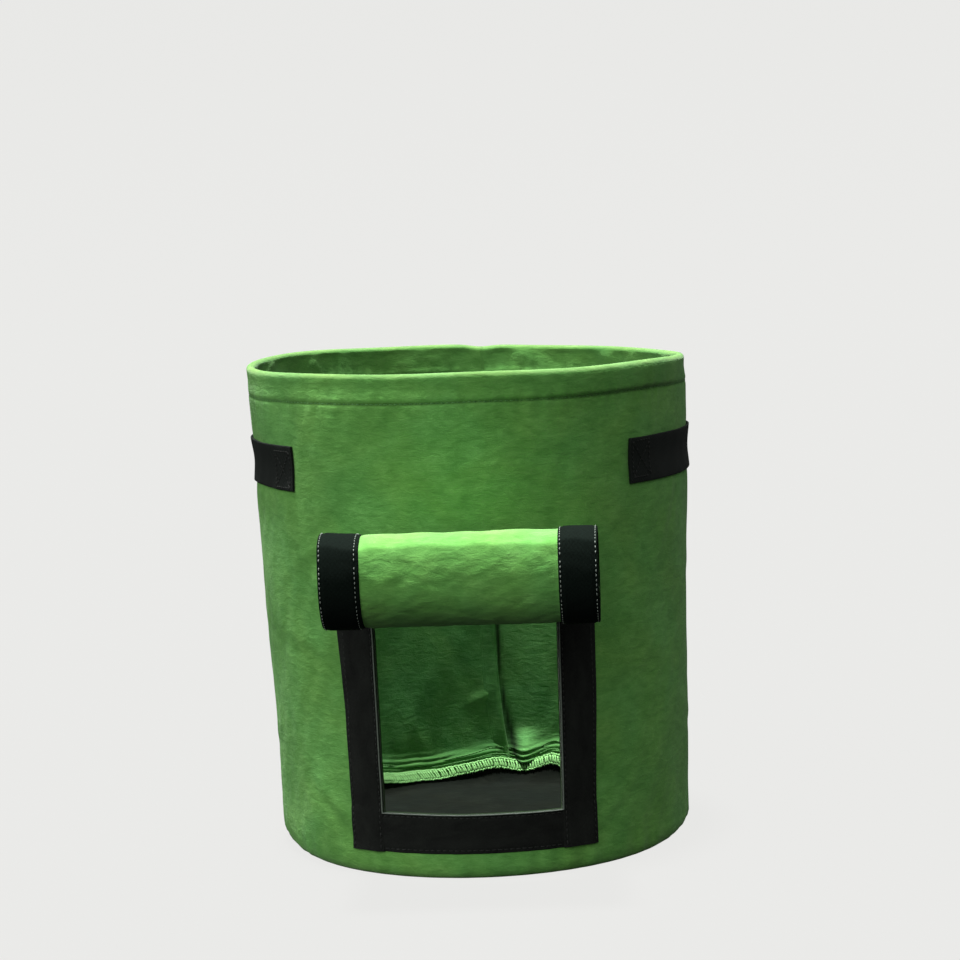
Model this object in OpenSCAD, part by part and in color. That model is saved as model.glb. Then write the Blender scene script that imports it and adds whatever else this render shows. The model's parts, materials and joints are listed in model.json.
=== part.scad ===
// Fabric grow bag: a felt tube with a sewn-in base, two webbing handles and a
// harvest window whose flap rolls up. Millimetres, +Z up, front towards -Y,
// origin at the middle of the underside.

/* [Bag] */
// Outer diameter of the bag at the rim
rim_d = 300; // [280:2:320]
// Outer diameter of the bag just above the floor
base_d = 284; // [270:2:298]
// Height of the bag from the floor to the rim
bag_h = 330; // [320:1:360]
// Thickness of the felt
felt_t = 2.5; // [2:0.1:3]
// Radius of the soft bottom edge
edge_r = 12; // [8:1:16]

/* [Hem and seams] */
// Depth of the hem that is folded in at the rim
hem_h = 20; // [15:1:25]
// Height of the base seam allowance that stands inside the bag
allowance_h = 12; // [8:1:14]
// Diameter of the sewing thread
thread_d = 0.8; // [0.6:0.1:1]

/* [Handles] */
// Width of the handle webbing
strap_w = 30; // [25:1:38]
// Thickness of the handle webbing
strap_t = 1.6; // [1.2:0.1:2]
// Distance from the rim down to the top edge of the handles
strap_drop = 49; // [40:1:60]
// Angle from the front of the bag to where each handle starts
strap_a0 = 48; // [45:1:55]
// Angle that each sewn end of a handle covers
strap_end_a = 10; // [8:0.5:12]

/* [Window] */
// Height of the window's lower edge above the floor
window_z = 42; // [40:1:50]
// Half of the angle that the window covers
window_a = 24; // [20:1:26]
// Width of the tape round the window
tape_w = 25; // [20:1:27]
// Thickness of the hook tape and of the loop tape
tape_t = 1.2; // [1:0.1:1.5]

/* [Flap] */
// Width of the flap
flap_w = 176; // [160:2:180]
// Height above the floor of the fold where the free flap starts
flap_z = 205; // [203:1:210]
// Height of the flap's strip that is sewn to the wall
flap_strip_h = 22; // [18:1:26]
// Length of each panel of the flap, between two folds
panel_l = 24; // [23.4:0.1:24.2]
// Turn of the first fold when the flap is rolled up
first_turn = 23; // [22:1:24]
// Turn of the second fold when the flap is rolled up
second_turn = 45; // [44.5:0.1:45.5]
// How much more each later fold turns, so that the roll winds inwards
turn_step = 1.2; // [1.1:0.1:1.4]
// Turn of the last fold, which tucks the flap's lower edge inside the roll
last_turn = 58; // [57:0.5:62]

/* [Hidden] */

$fn = 96;
seat = 0.1;             // air between two layers that are sewn together
end_gap = 1;            // air between the end of one seam allowance and the next
slide_gap = 0.4;        // air between the wall and a handle's loose middle
fold_gap = 0.4;         // air between two neighbouring flap panels
flap_gap = 0.5;         // air between hook and loop tape when the flap hangs down
stitch_inset = 3;       // how far stitching runs inside an edge
hem_stitch = 1;         // from the hem's raw edge up to its stitching
cut_reach = 10;         // how far the window's cutting shape passes the felt
front = -90;            // degrees about Z to the front of the bag
panel_count = 8;
edge_steps = 6;         // facets along the soft bottom edge

slope = (rim_d - base_d) / 2 / (bag_h - edge_r);
lean = atan(slope);
tape_a = arc(tape_w, base_d / 2);
frame_a = window_a + tape_a;
frame_z = window_z - tape_w;
strap_z1 = bag_h - strap_drop;
strap_z0 = strap_z1 - strap_w;
strap_a1 = 180 - strap_a0;
fold_y = -(wall_r(flap_z) + seat + tape_t + flap_gap + tape_t + felt_t);
base_r = base_d / 2 - edge_r;
allowance_z = felt_t + end_gap;

// Outer radius of the wall at a height above its soft bottom edge
function wall_r(z) = base_d / 2 + slope * (z - edge_r);

// Angle that a length covers round a circle of radius r
function arc(length, r) = length / r * 180 / PI;

// Turn of fold k, and the sum of all turns up to fold k
function turn(k) = k == 1 ? first_turn
    : k == panel_count ? last_turn : second_turn + turn_step * (k - 2);
function turned(k) = k == 0 ? -lean : turned(k - 1) + turn(k);

// Place of fold k in the YZ plane, in the rolled-up flap
function fold(k) = k == 1 ? [fold_y, flap_z]
    : fold(k - 1) - panel_l * [sin(turned(k - 1)), cos(turned(k - 1))];

// A layer on the wall, from height z0 to z1 and from angle a0 to a1, measured
// from the front, standing off the wall's outer face by off
module layer(z0, z1, a0, a1, off, t) {
    rotate([0, 0, front + a0]) rotate_extrude(angle = a1 - a0) polygon([
        [wall_r(z0) + off, z0], [wall_r(z0) + off + t, z0],
        [wall_r(z1) + off + t, z1], [wall_r(z1) + off, z1]]);
}

// A ring of thread round the wall at height z
module thread_ring(z, off) {
    layer(z - thread_d / 2, z + thread_d / 2, 0, 360, off, thread_d / 2);
}

// Four lines of thread just inside the edges of a layer, which don't cross
module thread_box(z0, z1, a0, a1, off) {
    inset_a = arc(stitch_inset, wall_r(z0));
    line_a = arc(thread_d, wall_r(z0));
    for (z = [z0 + stitch_inset, z1 - stitch_inset - thread_d])
        layer(z, z + thread_d, a0 + inset_a, a1 - inset_a, off, thread_d / 2);
    for (a = [a0 + inset_a, a1 - inset_a - line_a])
        layer(z0 + stitch_inset + 2 * thread_d, z1 - stitch_inset - 2 * thread_d, a, a + line_a,
              off, thread_d / 2);
}

// Section of the wall's tube: soft bottom edge, straight leaning side. The
// inner line runs one felt thickness inside the outer line.
module wall_section() {
    outer = [for (i = [0:edge_steps]) let (a = -90 + 90 * i / edge_steps)
        [base_r + edge_r * cos(a), edge_r + edge_r * sin(a)]];
    inner = [for (i = [edge_steps:-1:0]) let (a = -90 + 90 * i / edge_steps)
        [base_r + (edge_r - felt_t) * cos(a), edge_r + (edge_r - felt_t) * sin(a)]];
    polygon(concat(outer, [[rim_d / 2, bag_h], [rim_d / 2 - felt_t, bag_h]], inner));
}

module wall_panel() {
    color("forestgreen") difference() {
        rotate_extrude() wall_section();
        layer(window_z, flap_z, -window_a, window_a, -cut_reach, 2 * cut_reach);
    }
}

module base_panel() {
    color([0.12, 0.13, 0.12]) cylinder(r = base_r - seat, h = felt_t);
}

module rim_hem() {
    color("limegreen") layer(bag_h - hem_h, bag_h, 0, 360, -2 * felt_t - seat, felt_t);
}

module rim_hem_stitching() {
    color("darkgreen") thread_ring(bag_h - hem_h + hem_stitch, seat);
}

// The two ends of the wall, turned inwards side by side at the back
module back_seam_allowance() {
    z0 = allowance_z + allowance_h + end_gap;
    z1 = bag_h - hem_h - end_gap;
    color("green") for (side = [-1, 1])
        translate([side * (felt_t + seat) / 2 + felt_t / 2, 0, 0])
            rotate([0, -90, 0]) linear_extrude(felt_t) polygon([
                [z0, wall_r(z0) - felt_t - allowance_h], [z0, wall_r(z0) - felt_t - seat],
                [z1, wall_r(z1) - felt_t - seat], [z1, wall_r(z1) - felt_t - allowance_h]]);
}

module back_seam_stitching() {
    line_a = arc(thread_d, base_d / 2);
    color("darkgreen") layer(2 * edge_r, bag_h - hem_h, 180 - line_a / 2, 180 + line_a / 2,
                             seat, thread_d / 2);
}

module base_seam_allowance() {
    color("limegreen") rotate_extrude() translate([base_r - felt_t, allowance_z])
        square([2 * felt_t, allowance_h]);
}

module base_seam_overlock() {
    color("greenyellow") rotate_extrude()
        translate([base_r - felt_t, allowance_z + allowance_h + seat])
            square([2 * felt_t, thread_d]);
}

// side is -1 for the left handle and 1 for the right one
module strap(side, a0, a1, off) {
    start = side > 0 ? a0 : -a1;
    color([0.1, 0.11, 0.1]) layer(strap_z0, strap_z1, start, start + a1 - a0, off, strap_t);
}

module handle_front_end(side) { strap(side, strap_a0, strap_a0 + strap_end_a, seat); }

module handle_loop(side) {
    joint_a = arc(fold_gap, wall_r(strap_z0));
    strap(side, strap_a0 + strap_end_a + joint_a, strap_a1 - strap_end_a - joint_a, slide_gap);
}

module handle_rear_end(side) { strap(side, strap_a1 - strap_end_a, strap_a1, seat); }

module handle_stitching(side) {
    for (a = [strap_a0, strap_a1 - strap_end_a]) {
        start = side > 0 ? a : -a - strap_end_a;
        color("black")
            thread_box(strap_z0, strap_z1, start, start + strap_end_a, strap_t + 2 * seat);
    }
}

module window_tape_leg(side) {
    start = side > 0 ? window_a : -frame_a;
    color([0.12, 0.14, 0.12])
        layer(window_z + seat, flap_z - seat, start, start + tape_a, seat, tape_t);
}

module window_tape_bottom() {
    color([0.12, 0.14, 0.12]) layer(frame_z, window_z, -frame_a, frame_a, seat, tape_t);
}

module window_tape_stitching() {
    line_a = arc(thread_d, wall_r(window_z));
    inset_a = arc(stitch_inset, wall_r(window_z));
    off = tape_t + 2 * seat;
    color("black") {
        for (z = [frame_z + stitch_inset, window_z - stitch_inset])
            layer(z, z + thread_d, -frame_a + inset_a, frame_a - inset_a, off, thread_d / 2);
        for (side = [-1, 1], a = [frame_a - inset_a, window_a + inset_a])
            layer(window_z + stitch_inset, flap_z - stitch_inset,
                  side * a - line_a / 2, side * a + line_a / 2, off, thread_d / 2);
    }
}

// The pale line along the window's cut edge: two sides and the sill
module window_edge_thread() {
    line_a = arc(thread_d, wall_r(window_z));
    off = tape_t + 2 * seat;
    color("silver") {
        layer(window_z - 1.5 * thread_d, window_z - thread_d / 2, -window_a, window_a,
              off, thread_d / 2);
        for (side = [-1, 1])
            layer(window_z, flap_z - stitch_inset, side * (window_a + line_a) - line_a / 2,
                  side * (window_a + line_a) + line_a / 2, off, thread_d / 2);
    }
}

module flap_strip() {
    color("forestgreen")
        layer(flap_z, flap_z + flap_strip_h, -frame_a, frame_a, seat, felt_t);
}

module flap_strip_stitching() {
    end_a = frame_a - arc(stitch_inset, wall_r(flap_z));
    color("darkgreen") for (z = [flap_z + stitch_inset, flap_z + flap_strip_h - stitch_inset])
        layer(z, z + thread_d, -end_a, end_a, felt_t + 2 * seat, thread_d / 2);
}

// Places a piece of panel k: there X runs across the flap, Y out of the roll
// and Z up the panel, and the panel's upper fold is the origin
module on_panel(k) {
    translate([0, fold(k)[0], fold(k)[1]]) rotate([-turned(k), 0, 0]) children();
}

// A block across panel k, from x0 to x1, on the panel's outward side
module panel_block(k, x0, x1, depth, t) {
    on_panel(k) translate([x0, depth, -panel_l + fold_gap / 2])
        cube([x1 - x0, t, panel_l - fold_gap]);
}

module flap_panel(k) {
    color(k % 2 == 0 ? "limegreen" : "yellowgreen")
        panel_block(k, -flap_w / 2, flap_w / 2, 0, felt_t);
}

module flap_hook_tapes(k) {
    color([0.08, 0.1, 0.08]) for (x0 = [-flap_w / 2, flap_w / 2 - tape_w])
        panel_block(k, x0, x0 + tape_w, felt_t, tape_t);
}

module flap_edge_threads(k) {
    inner_edge = flap_w / 2 - tape_w + stitch_inset / 2;
    outer_edge = flap_w / 2 - stitch_inset / 2;
    color("white") for (side = [-1, 1], x = [inner_edge, outer_edge])
        panel_block(k, side * x - thread_d / 2, side * x + thread_d / 2,
                    felt_t + tape_t, thread_d / 4);
}

// The tape across the flap's lower edge, between the two side tapes
module flap_hook_tape_bottom() {
    half = flap_w / 2 - tape_w - seat;
    color([0.08, 0.1, 0.08]) on_panel(panel_count)
        translate([-half, felt_t, -panel_l + fold_gap / 2])
            cube([2 * half, tape_t, panel_l - fold_gap]);
}

wall_panel();
base_panel();
rim_hem();
rim_hem_stitching();
back_seam_allowance();
back_seam_stitching();
base_seam_allowance();
base_seam_overlock();
handle_front_end(-1);  // handle_left_front_end
handle_loop(-1);  // handle_left_loop
handle_rear_end(-1);  // handle_left_rear_end
handle_front_end(1);  // handle_right_front_end
handle_loop(1);  // handle_right_loop
handle_rear_end(1);  // handle_right_rear_end
handle_stitching(-1);  // handle_left_stitching
handle_stitching(1);  // handle_right_stitching
window_tape_leg(-1);  // window_tape_left
window_tape_leg(1);  // window_tape_right
window_tape_bottom();
window_tape_stitching();
window_edge_thread();
flap_strip();
flap_strip_stitching();
flap_hook_tape_bottom();
flap_panel(1);  // flap_panel_1
flap_panel(2);  // flap_panel_2
flap_panel(3);  // flap_panel_3
flap_panel(4);  // flap_panel_4
flap_panel(5);  // flap_panel_5
flap_panel(6);  // flap_panel_6
flap_panel(7);  // flap_panel_7
flap_panel(8);  // flap_panel_8
flap_hook_tapes(1);  // flap_hook_tapes_1
flap_hook_tapes(2);  // flap_hook_tapes_2
flap_hook_tapes(3);  // flap_hook_tapes_3
flap_hook_tapes(4);  // flap_hook_tapes_4
flap_hook_tapes(5);  // flap_hook_tapes_5
flap_hook_tapes(6);  // flap_hook_tapes_6
flap_hook_tapes(7);  // flap_hook_tapes_7
flap_hook_tapes(8);  // flap_hook_tapes_8
flap_edge_threads(1);  // flap_edge_threads_1
flap_edge_threads(2);  // flap_edge_threads_2
flap_edge_threads(3);  // flap_edge_threads_3
flap_edge_threads(4);  // flap_edge_threads_4
flap_edge_threads(5);  // flap_edge_threads_5
flap_edge_threads(6);  // flap_edge_threads_6
flap_edge_threads(7);  // flap_edge_threads_7
flap_edge_threads(8);  // flap_edge_threads_8
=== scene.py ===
import json
import math

import bpy
import numpy as np
from mathutils import Matrix, Vector

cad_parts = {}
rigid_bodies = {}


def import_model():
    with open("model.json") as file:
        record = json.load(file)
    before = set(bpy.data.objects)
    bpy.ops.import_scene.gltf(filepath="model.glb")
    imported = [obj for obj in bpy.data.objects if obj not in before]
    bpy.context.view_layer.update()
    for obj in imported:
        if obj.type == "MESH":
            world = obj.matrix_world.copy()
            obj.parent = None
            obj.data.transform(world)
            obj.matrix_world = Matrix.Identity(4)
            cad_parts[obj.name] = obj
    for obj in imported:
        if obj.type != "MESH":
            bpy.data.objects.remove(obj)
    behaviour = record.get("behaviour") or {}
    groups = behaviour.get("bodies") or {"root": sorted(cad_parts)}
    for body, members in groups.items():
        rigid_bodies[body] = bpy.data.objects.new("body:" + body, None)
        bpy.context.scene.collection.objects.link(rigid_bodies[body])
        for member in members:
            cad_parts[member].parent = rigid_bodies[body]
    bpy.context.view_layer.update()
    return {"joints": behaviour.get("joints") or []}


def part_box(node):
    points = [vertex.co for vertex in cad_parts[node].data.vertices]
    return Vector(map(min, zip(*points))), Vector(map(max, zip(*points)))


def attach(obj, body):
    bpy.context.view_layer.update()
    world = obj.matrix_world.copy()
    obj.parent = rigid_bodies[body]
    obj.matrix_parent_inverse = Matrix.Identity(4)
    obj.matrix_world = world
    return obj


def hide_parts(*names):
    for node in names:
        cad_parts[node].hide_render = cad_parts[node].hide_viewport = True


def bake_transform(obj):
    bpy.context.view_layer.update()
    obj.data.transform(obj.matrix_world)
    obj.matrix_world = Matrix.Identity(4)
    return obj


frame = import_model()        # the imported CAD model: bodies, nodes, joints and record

MM = 0.001

# ---------------------------------------------------------------- sizes
FELT = 2.5 * MM
TAPE = 1.2 * MM
WEBBING = 1.6 * MM
SEAT = 0.1 * MM             # air between two layers that are sewn together
EDGE_R = 12 * MM            # radius of the bag's soft bottom edge
TAPE_WRAP = 0.4 * MM        # how far the flap's side tapes reach round its edges
STITCH_INSET = 2.2 * MM     # from a tape's edge to its stitching
SEAM_WIDTH = 12 * MM        # of the back seam's allowance

WALL_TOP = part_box("wall_panel")[1]
RIM_R, RIM_Z = WALL_TOP.x, WALL_TOP.z
BASE_FLAT_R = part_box("base_panel")[1].x + SEAT
BASE_R = BASE_FLAT_R + EDGE_R
HEM_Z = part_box("rim_hem")[0].z
SEWN_Z = HEM_Z + 1 * MM     # the hem's line of stitching
SEAM_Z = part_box("base_seam_allowance")[1].z
SILL_LOW, SILL_HIGH = (corner.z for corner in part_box("window_tape_bottom"))
WINDOW_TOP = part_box("flap_strip")[0].z
STRIP_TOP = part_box("flap_strip")[1].z - 4 * MM
STRAP_LOW, STRAP_HIGH = (corner.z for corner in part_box("handle_right_loop"))
STRAP_MIDDLE = (STRAP_LOW + STRAP_HIGH) / 2

# How the felt's colour is multiplied where it isn't plain: painted shade and painted highlights,
# and the window's black-bound edges
INNER_SHADE_TONE = (0.88, 0.92, 1.2)      # painted shade: the face inside the bag, darker and greyer
HEM_SHADE_TONE = 0.84                     # painted shade: its folded hem, darker
RIM_HIGHLIGHT_TONE = (1.25, 0.9, 1.25)        # painted highlight: paler along the fold
ROLL_HIGHLIGHT_TONE = (1.35, 1.05, 1.4)       # painted highlight where the rolled flap's top faces the light
CUT_TONE = 0.1                      # the window's edges, bound in black


def wall_r(z):
    """The CAD wall's outer radius, soft bottom edge included."""
    low = np.clip(z, 0, EDGE_R)
    edge = BASE_FLAT_R + np.sqrt(np.maximum(EDGE_R ** 2 - (EDGE_R - low) ** 2, 0))
    side = BASE_R + (RIM_R - BASE_R) * (z - EDGE_R) / (RIM_Z - EDGE_R)
    return np.where(z < EDGE_R, edge, side)


def angle_at(x, z, off):
    """Angle from the bag's front of a point off the wall, from its x."""
    return math.asin(x / (float(wall_r(z)) + off))


TAPE_RIGHT, SEWN_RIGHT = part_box("window_tape_right"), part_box("handle_right_front_end")
WINDOW_A = angle_at(TAPE_RIGHT[0].x, SILL_HIGH, SEAT)
FRAME_A = angle_at(TAPE_RIGHT[1].x, WINDOW_TOP, SEAT + TAPE)
STRAP_A0 = angle_at(SEWN_RIGHT[0].x, STRAP_LOW, SEAT)
STRAP_A1 = angle_at(SEWN_RIGHT[1].x, STRAP_HIGH, SEAT + WEBBING)

FOLDS = [j for j in frame["joints"] if j["child"].startswith("flap_")]
FOLDS.sort(key=lambda j: j["child"])
FOLD_AT = [np.array(j["pos_m"][1:]) for j in FOLDS]
PANEL = float(np.linalg.norm(FOLD_AT[1] - FOLD_AT[0]))
FLAP_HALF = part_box("flap_panel_1")[1].x
LEAN = math.atan((RIM_R - BASE_R) / (RIM_Z - EDGE_R))


# ---------------------------------------------------------------- the wall's shape
def ripple(seed, count, turns, rises):
    """A smooth random surface over angle and height that closes on itself round the bag."""
    rng = np.random.default_rng(seed)
    k = rng.integers(turns[0], turns[1] + 1, count)
    m = rng.uniform(rises[0], rises[1], count) * rng.choice([-1, 1], count)
    phase = rng.uniform(0, 2 * math.pi, count)
    size = rng.uniform(0.5, 1, count)
    size /= math.sqrt((size ** 2).sum() / 2)
    return lambda a, z=0.0: sum(
        s * np.cos(n * a + r * z + p) for s, n, r, p in zip(size, k, m, phase))


sway = ripple(11, 10, (2, 5), (0, 14))
dents = ripple(12, 16, (6, 16), (10, 60))
crumple = ripple(13, 22, (20, 52), (40, 190))
puckers = ripple(14, 8, (38, 66), (0, 30))
hem_puckers = ripple(15, 10, (70, 120), (0, 60))
rim_waves = ripple(16, 6, (3, 9), (0, 0))
hem_folds = ripple(17, 16, (8, 40), (60, 260))
seam_ridges = ripple(18, 8, (4, 16), (0, 0))

# Folds in the felt: angle in degrees, height, half length and half width in mm,
# tilt in degrees and depth in mm
CREASES = [
    (-46, 205, 26, 5, 28, 1.0), (-52, 150, 30, 6, -12, 0.8), (44, 200, 24, 5, -30, 0.9),
    (50, 128, 34, 6, 14, 0.7), (-40, 40, 26, 5, -38, 1.1), (41, 38, 24, 5, 40, 1.0),
    (-8, 262, 40, 7, 4, 0.6), (22, 276, 32, 6, -8, 0.7), (-30, 250, 22, 5, 40, 0.6),
    (70, 236, 30, 5, 60, 0.9), (-72, 234, 30, 5, -58, 0.9), (104, 190, 44, 7, 12, 1.2),
    (-112, 160, 46, 8, -16, 1.3), (150, 120, 42, 7, 24, 1.1), (-150, 210, 40, 7, -30, 1.1),
    (84, 80, 36, 6, -20, 1.0), (-84, 70, 36, 6, 22, 1.0), (174, 20, 40, 3, 2, 1.6),
    (-172, 24, 30, 3, -3, 1.5), (-158, 20, 30, 3, 3, 1.3), (156, 26, 26, 3, 5, 1.2)]


def wrapped(angle):
    return (angle + math.pi) % (2 * math.pi) - math.pi


def bell(x, width):
    return np.exp(-(x / width) ** 2)


def smooth(t):
    t = np.clip(t, 0, 1)
    return t * t * (3 - 2 * t)


def soft_r(a, z):
    """wall_r with the bottom edge fuller at the front and rounder at the sides."""
    power = 2 + 2.5 * np.maximum(np.cos(a), 0) ** 2 - 0.4 * np.sin(a) ** 2
    edge = 1 - np.clip(1 - z / EDGE_R, 0, 1) ** power
    return np.where(z < EDGE_R, BASE_FLAT_R + EDGE_R * edge ** (1 / power), wall_r(z))


def outline(a, z):
    """The standing bag isn't quite round: how far its sides and front stand out, in mm."""
    left = 1.8 * smooth((z - 250 * MM) / (60 * MM)) + 1.4 * bell(z - 185 * MM, 50 * MM)
    left = left - 2.6 * bell(z, 14 * MM)
    right = 1.5 * bell(z - 85 * MM, 60 * MM) - 2.4 * smooth((z - 235 * MM) / (85 * MM))
    front = 2.5 * bell(z - 6 * MM, 14 * MM)
    return (left * np.maximum(-np.sin(a), 0) ** 2 + right * np.maximum(np.sin(a), 0) ** 2
            + front * np.maximum(np.cos(a), 0) ** 2)


def creases(a, z):
    """The folds in the felt, in mm: each rises on one side of its line and sinks on the other."""
    out = 0.0
    for angle, height, length, width, tilt, depth in CREASES:
        across_a = BASE_R * wrapped(a - math.radians(angle))
        across_z = z - height * MM
        c, s = math.cos(math.radians(tilt)), math.sin(math.radians(tilt))
        along = (across_a * c + across_z * s) / (length * MM)
        across = (across_z * c - across_a * s) / (width * MM)
        out = out + 0.8 * depth * across * np.exp(-across ** 2 - along ** 2)
    return out


def hem_relief(a, z):
    """The hem, in mm: puckered at its stitching, which is sunk, and proud above it at the right."""
    puckered = 0.22 * hem_puckers(a, z) * bell(z - HEM_Z, 9 * MM)
    sunk = 0.5 * bell(z - SEWN_Z, 1.2 * MM)
    below_rim = np.clip((RIM_Z - z) / (RIM_Z - HEM_Z), 0, 1)
    proud = (0.1 + 2.6 * bell(wrapped(a - 0.85), 0.45)) * (0.3 + 0.7 * below_rim)
    return puckered - sunk + proud * smooth((z - SEWN_Z) / (3 * MM))


def strap_press(a, z):
    """How far the handles press the felt in, in mm."""
    around, fade = abs(wrapped(a)), 0.05
    front = smooth((around - STRAP_A0 + fade) / (2 * fade))
    rear = smooth((math.pi - STRAP_A0 - around + fade) / (2 * fade))
    return 2.0 * front * rear * bell(z - STRAP_MIDDLE, (STRAP_HIGH - STRAP_LOW) * 0.62) ** 2


def relief(a, z):
    """How far the felt stands off the CAD wall, in metres."""
    free = smooth(z / (40 * MM)) * (1 - 0.7 * smooth((z - HEM_Z) / (15 * MM)))
    loose = free * (0.9 * sway(a, z) + 0.35 * dents(a, z) + 0.10 * crumple(a, z))
    puckered = 0.55 * puckers(a, z) * np.exp(-z / (16 * MM)) * smooth(z / (5 * MM))
    return (outline(a, z) + loose + creases(a, z) + puckered + hem_relief(a, z)
            - strap_press(a, z)) * MM


def seam_across(a, z):
    """Distance round the wall from the back seam, in metres, growing towards the bag's left."""
    return BASE_R * wrapped(a - math.pi - seam_turn(z))


def inner_relief(a, z):
    """How far the wall's inner face stands inwards of its own, in metres."""
    return (seam_folds(a, z) + seam_pucker(a, z) + inner_crease(a, z)
            - 1.2 * valley(a, z, 0.5)) * MM


def seam_folds(a, z):
    """The ridges that run round the bag just over the base seam, in mm."""
    pitch, high = 3.9, 2.4
    above = z / MM - seam_top(a) - 2.5
    low = smooth((above + 5) / 5) * (1 - smooth((above - 4) / 11))
    wave = np.sin(above / pitch * 2 * math.pi + 0.9 * seam_ridges(a))
    return low * (high + 0.9 * wave * (1 + 0.4 * seam_ridges(a + 2)))


def seam_pucker(a, z):
    """The swelling over the base seam, right of the back seam, in mm."""
    side = bell(BASE_R * wrapped(a - math.radians(170.3)), 9.5 * MM) ** 1.5
    return 8.0 * side * smooth((43 * MM - z) / (17 * MM)) * smooth((z - 8 * MM) / (8 * MM))


def inner_crease(a, z):
    """A short slanting crease left of the back seam, in mm."""
    across = seam_across(a, z) - 15 * MM
    up = z - 66 * MM + 0.36 * across
    return 1.3 * bell(across, 10 * MM) * smooth((up + 7 * MM) / (7 * MM)) * \
        (1 - smooth(up / (2 * MM)))


def valley(a, z, spread):
    """1 in the shaded gap beside the back seam's allowance, fading to 0 over spread widths."""
    width = valley_width(z)
    return bell(seam_across(a, z) + width / 2, width * spread)


def valley_width(z):
    """The gap beside the back seam's allowance widens towards the floor."""
    return (2.6 + 6.2 * (1 - smooth((z - 15 * MM) / (60 * MM)))) * MM


def seam_turn(z):
    """The back seam leans: how far round the bag, in radians, it is from the middle at z."""
    lean = 1.3 * (1 - smooth((z - 150 * MM) / (150 * MM)))
    return -np.radians(lean + 4.6 * np.exp(-np.maximum(z / (45 * MM), 0) ** 1.3))


def rim_lift(a, z):
    """The rim isn't level: it is high on the left, low on the right, and dips at the back seam.
    The cloth under the window has slipped up a little too."""
    around = abs(wrapped(a))
    tilt = -3.8 * np.sin(a) * (0.15 + 0.85 * smooth((around - 1.0) / 1.1))
    waves = 0.25 * rim_waves(a) - 1.6 * bell(wrapped(a - math.pi), 0.07)
    sill = (1.5 - 1.0 * np.sin(a)) * np.maximum(np.cos(a), 0) ** 2 * bell(z - SILL_HIGH, 22 * MM)
    return ((tilt + waves) * smooth(z / RIM_Z) ** 2 + sill) * MM


def wall_point(a, z, off=0.0):
    """A point off the felt wall's outer face."""
    a, z = np.broadcast_arrays(np.asarray(a, float), np.asarray(z, float))
    r = soft_r(a, z) + relief(a, z) + off
    return np.stack([r * np.sin(a), -r * np.cos(a), z + rim_lift(a, z)], -1)


def wall_normal(a, z):
    a, z = np.broadcast_arrays(np.asarray(a, float), np.asarray(z, float))
    step = 1e-4
    along = wall_point(a + step, z) - wall_point(a - step, z)
    up = wall_point(a, z + step) - wall_point(a, z - step)
    n = np.cross(along, up)
    return n / np.linalg.norm(n, axis=-1, keepdims=True)


# ---------------------------------------------------------------- mesh building
def build(name, points, faces, material, cloth, body=None, sharp=None, tone=1.0):
    """A smooth-shaded closed mesh. cloth is each point's place on the flat cut cloth, in metres.
    An edge is sharp where sharp, a number for each point, is the same above 0 at both ends.
    tone multiplies the colour, for painted shade in folds, on the hem and inside the bag, and for
    painted highlights."""
    mesh = bpy.data.meshes.new(name)
    mesh.from_pydata(points.tolist(), [], faces)
    mesh.materials.append(material)
    attribute = mesh.attributes.new("cloth", "FLOAT_VECTOR", "POINT")
    attribute.data.foreach_set("vector", cloth.astype(np.float32).ravel())
    tones = np.broadcast_to(np.asarray(tone, np.float32), (len(points), 3))
    mesh.attributes.new("tone", "FLOAT_VECTOR", "POINT").data.foreach_set("vector", tones.ravel())
    mesh.shade_smooth()
    if sharp is not None:
        ends = np.zeros((len(mesh.edges), 2), int)
        mesh.edges.foreach_get("vertices", ends.ravel())
        creased = (sharp[ends[:, 0]] > 0) & (sharp[ends[:, 0]] == sharp[ends[:, 1]])
        mesh.attributes.new("sharp_edge", "BOOLEAN", "EDGE").data.foreach_set("value", creased)
    if volume(mesh) < 0:
        mesh.flip_normals()
    obj = bpy.data.objects.new(name, mesh)
    bpy.context.collection.objects.link(obj)
    if body:
        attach(obj, body)
    return obj


def volume(mesh):
    """A closed mesh's volume, below zero where its faces look inwards."""
    mesh.calc_loop_triangles()
    co = np.zeros(3 * len(mesh.vertices))
    mesh.vertices.foreach_get("co", co)
    triangles = np.zeros(3 * len(mesh.loop_triangles), int)
    mesh.loop_triangles.foreach_get("vertices", triangles)
    a, b, c = co.reshape(-1, 3)[triangles.reshape(-1, 3)].transpose(1, 0, 2)
    return (a * np.cross(b, c)).sum()


def quads(n, m, around=True, closed=False, skip=None):
    """Faces of an n by m grid of points. around closes it across, closed along."""
    i, j = np.meshgrid(np.arange(n if closed else n - 1),
                       np.arange(m if around else m - 1), indexing="ij")
    if skip is not None:
        i, j = i[~skip], j[~skip]
    i, j = i.ravel(), j.ravel()
    i2, j2 = (i + 1) % n, (j + 1) % m
    return np.stack([i * m + j, i2 * m + j, i2 * m + j2, i * m + j2], -1).tolist()


def section(u0, u1, h0, h1, count):
    """A closed outline across a strip of cloth, with round edges: u across, h through."""
    round_r = min(0.45 * (h1 - h0), 1.0 * MM)
    turn = np.linspace(0, math.pi / 2, 4)
    u = np.linspace(u0 + round_r, u1 - round_r, count)
    far_u = u1 - round_r + round_r * np.sin(turn[1:])
    far_h = h1 - round_r + round_r * np.cos(turn[1:])
    near_u = u0 + round_r - round_r * np.sin(turn[1:])[::-1]
    near_h = far_h[::-1]
    top_u = np.concatenate([near_u, u, far_u])
    top_h = np.concatenate([near_h, np.full(count, h1), far_h])
    return np.concatenate([top_u, top_u[::-1]]), np.concatenate([top_h, h0 + h1 - top_h[::-1]])


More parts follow.
